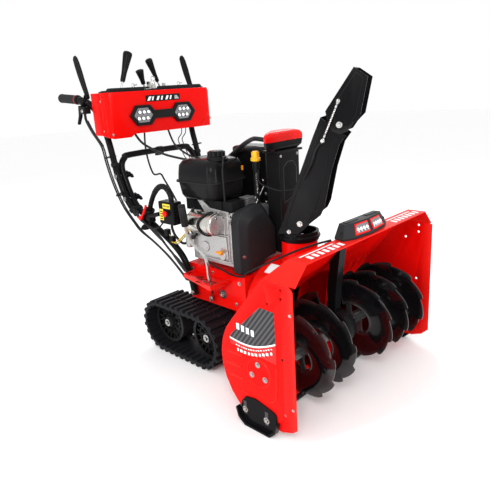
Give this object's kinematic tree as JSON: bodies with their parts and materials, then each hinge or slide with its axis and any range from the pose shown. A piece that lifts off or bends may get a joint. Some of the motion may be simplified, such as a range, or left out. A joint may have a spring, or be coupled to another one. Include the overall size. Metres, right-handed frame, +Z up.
{
  "type": "two stage snowblower",
  "caption": "Walk-behind tracked two-stage snowblower with serrated augers, tall turning discharge chute, petrol engine, rubber tracks and a dash with control sticks.",
  "frame": {"origin": "centre of the bounding box on the ground", "axes": "-Y is forward, where the auger housing opens; +Z is up; +X is the operator's left when facing forward"},
  "size_m": [0.8068, 1.257, 1.1285],
  "materials": {
    "red_paint": "gloss",
    "black_paint": "gloss",
    "heat_guard": "satin",
    "black_plastic": "gloss",
    "grey_plastic": "satin",
    "lens": "clear",
    "rubber": "matte",
    "track_rubber": "matte",
    "zinc": "satin",
    "cast_aluminium": "cast",
    "yellow_plastic": "gloss",
    "red_plastic": "gloss"
  },
  "bodies": {
    "machine": {"auger_housing_shell": "red_paint", "housing_side_right": "red_paint", "housing_side_left": "red_paint", "scraper_bar": "black_paint", "skid_shoe_right": "black_paint", "skid_shoe_left": "black_paint", "auger_gearbox": "black_paint", "impeller_drum": "red_paint", "work_light_body": "grey_plastic", "work_light_lens": "lens", "chassis_frame": "red_paint", "track_belt_right": "track_rubber", "track_belt_left": "track_rubber", "front_axle": "zinc", "rear_axle": "zinc", "engine_block": "cast_aluminium", "recoil_starter": "black_plastic", "fuel_tank": "black_plastic", "muffler_guard": "heat_guard", "starter_motor": "cast_aluminium", "dipstick_tube": "black_plastic", "switch_box": "black_plastic", "belt_cover": "grey_plastic", "drive_column": "black_plastic", "column_cap": "red_plastic", "handlebar_right": "black_paint", "handlebar_left": "black_paint", "grip_right": "rubber", "grip_left": "rubber", "handle_frame": "black_paint", "dash_panel": "red_paint", "dash_deck": "black_plastic", "headlight_bezel": "grey_plastic", "headlight_lens": "lens", "loop_handle": "black_plastic"},
    "auger": {"auger_shaft": "zinc", "auger_left": "black_paint", "auger_right": "black_paint"},
    "impeller_rotor": {"impeller": "black_paint"},
    "chute_body": {"chute_ring": "black_plastic", "chute": "black_plastic"},
    "deflector": {"chute_deflector": "black_plastic"},
    "tilt_lever_body": {"tilt_lever": "zinc", "tilt_lever_grip": "black_plastic"},
    "cap": {"fuel_cap": "black_plastic"},
    "dipstick_body": {"dipstick": "yellow_plastic"},
    "button": {"stop_button": "red_plastic"},
    "joystick": {"chute_joystick": "black_plastic"},
    "speed_stick": {"speed_lever": "black_plastic"},
    "deflector_stick": {"deflector_lever": "black_plastic"},
    "release": {"release_lever": "red_plastic"},
    "drive_wheel_body_right": {"drive_wheel_right": "black_plastic"},
    "idler_wheel_body_right": {"idler_wheel_right": "black_plastic"},
    "clutch_right": {"clutch_lever_right": "black_plastic"},
    "trigger_right": {"steering_trigger_right": "black_plastic"},
    "drive_wheel_body_left": {"drive_wheel_left": "black_plastic"},
    "idler_wheel_body_left": {"idler_wheel_left": "black_plastic"},
    "clutch_left": {"clutch_lever_left": "black_plastic"},
    "trigger_left": {"steering_trigger_left": "black_plastic"}
  },
  "joints": [
    {"name": "auger_spin", "type": "hinge", "parent": "machine", "child": "auger", "pos_m": [0, -0.48077, 0.188], "axis": [1, 0, 0], "continuous": true},
    {"name": "impeller_spin", "type": "hinge", "parent": "machine", "child": "impeller_rotor", "pos_m": [0, -0.25877, 0.213], "axis": [0, 1, 0], "continuous": true},
    {"name": "chute_turn", "type": "hinge", "parent": "machine", "child": "chute_body", "pos_m": [0, -0.32377, 0.475], "axis": [0, 0, 1], "range_deg": [-115, 65]},
    {"name": "deflector_tilt", "type": "hinge", "parent": "chute_body", "child": "deflector", "pos_m": [0.06255, -0.4579, 0.845], "axis": [0.9063, 0.4226, 0], "range_deg": [-12, 30]},
    {"name": "drive_wheel_spin_right", "type": "hinge", "parent": "machine", "child": "drive_wheel_body_right", "pos_m": [-0.2, 0.16623, 0.105], "axis": [1, 0, 0], "continuous": true},
    {"name": "idler_wheel_spin_right", "type": "hinge", "parent": "machine", "child": "idler_wheel_body_right", "pos_m": [-0.2, -0.05877, 0.105], "axis": [1, 0, 0], "continuous": true},
    {"name": "clutch_press_right", "type": "hinge", "parent": "machine", "child": "clutch_right", "pos_m": [-0.2605, 0.47123, 0.969], "axis": [-1, 0, 0], "range_deg": [0, 50], "stiffness_Nm_per_rad": 0.5, "springref_deg": -22.92},
    {"name": "trigger_squeeze_right", "type": "hinge", "parent": "machine", "child": "trigger_right", "pos_m": [-0.285, 0.49123, 0.933], "axis": [1, 0, 0], "range_deg": [0, 22], "stiffness_Nm_per_rad": 0.2, "springref_deg": -22.92},
    {"name": "drive_wheel_spin_left", "type": "hinge", "parent": "machine", "child": "drive_wheel_body_left", "pos_m": [0.2, 0.16623, 0.105], "axis": [1, 0, 0], "continuous": true},
    {"name": "idler_wheel_spin_left", "type": "hinge", "parent": "machine", "child": "idler_wheel_body_left", "pos_m": [0.2, -0.05877, 0.105], "axis": [1, 0, 0], "continuous": true},
    {"name": "clutch_press_left", "type": "hinge", "parent": "machine", "child": "clutch_left", "pos_m": [0.2605, 0.47123, 0.969], "axis": [-1, 0, 0], "range_deg": [0, 50], "stiffness_Nm_per_rad": 0.5, "springref_deg": -22.92},
    {"name": "trigger_squeeze_left", "type": "hinge", "parent": "machine", "child": "trigger_left", "pos_m": [0.285, 0.49123, 0.933], "axis": [1, 0, 0], "range_deg": [0, 22], "stiffness_Nm_per_rad": 0.2, "springref_deg": -22.92},
    {"name": "tilt_lever_move", "type": "hinge", "parent": "machine", "child": "tilt_lever_body", "pos_m": [-0.168, -0.04677, 0.24], "axis": [-1, 0, 0], "range_deg": [-4, 13]},
    {"name": "fuel_cap_twist", "type": "hinge", "parent": "machine", "child": "cap", "pos_m": [-0.1, -0.04877, 0.74], "axis": [0, 0, 1], "range_deg": [0, 90]},
    {"name": "dipstick_twist", "type": "hinge", "parent": "machine", "child": "dipstick_body", "pos_m": [-0.006, -0.14477, 0.735], "axis": [0, 0, 1], "range_deg": [0, 180]},
    {"name": "stop_button_press", "type": "slide", "parent": "machine", "child": "button", "axis": [1, 0, 0], "range_m": [0, 0.003], "stiffness_N_per_m": 400, "springref_m": -0.0005},
    {"name": "joystick_lean", "type": "hinge", "parent": "machine", "child": "joystick", "pos_m": [-0.142, 0.42123, 0.99], "axis": [0, 1, 0], "range_deg": [-18, 10]},
    {"name": "speed_select", "type": "hinge", "parent": "machine", "child": "speed_stick", "pos_m": [0.046, 0.42123, 0.99], "axis": [1, 0, 0], "range_deg": [-20, 20]},
    {"name": "deflector_stick_lean", "type": "hinge", "parent": "machine", "child": "deflector_stick", "pos_m": [-0.03, 0.42123, 0.99], "axis": [1, 0, 0], "range_deg": [-8, 19]},
    {"name": "release_pull", "type": "hinge", "parent": "machine", "child": "release", "pos_m": [-0.232, 0.26123, 0.516], "axis": [1, 0, 0], "range_deg": [0, 15], "stiffness_Nm_per_rad": 0.2, "springref_deg": -22.92}
  ],
  "couplings": [
    {"joint": "impeller_spin", "follows": "auger_spin", "ratio": 10},
    {"joint": "idler_wheel_spin_right", "follows": "drive_wheel_spin_right", "ratio": 1},
    {"joint": "idler_wheel_spin_left", "follows": "drive_wheel_spin_left", "ratio": 1},
    {"joint": "joystick_lean", "follows": "chute_turn", "ratio": 0.15},
    {"joint": "deflector_stick_lean", "follows": "deflector_tilt", "ratio": 0.6}
  ]
}
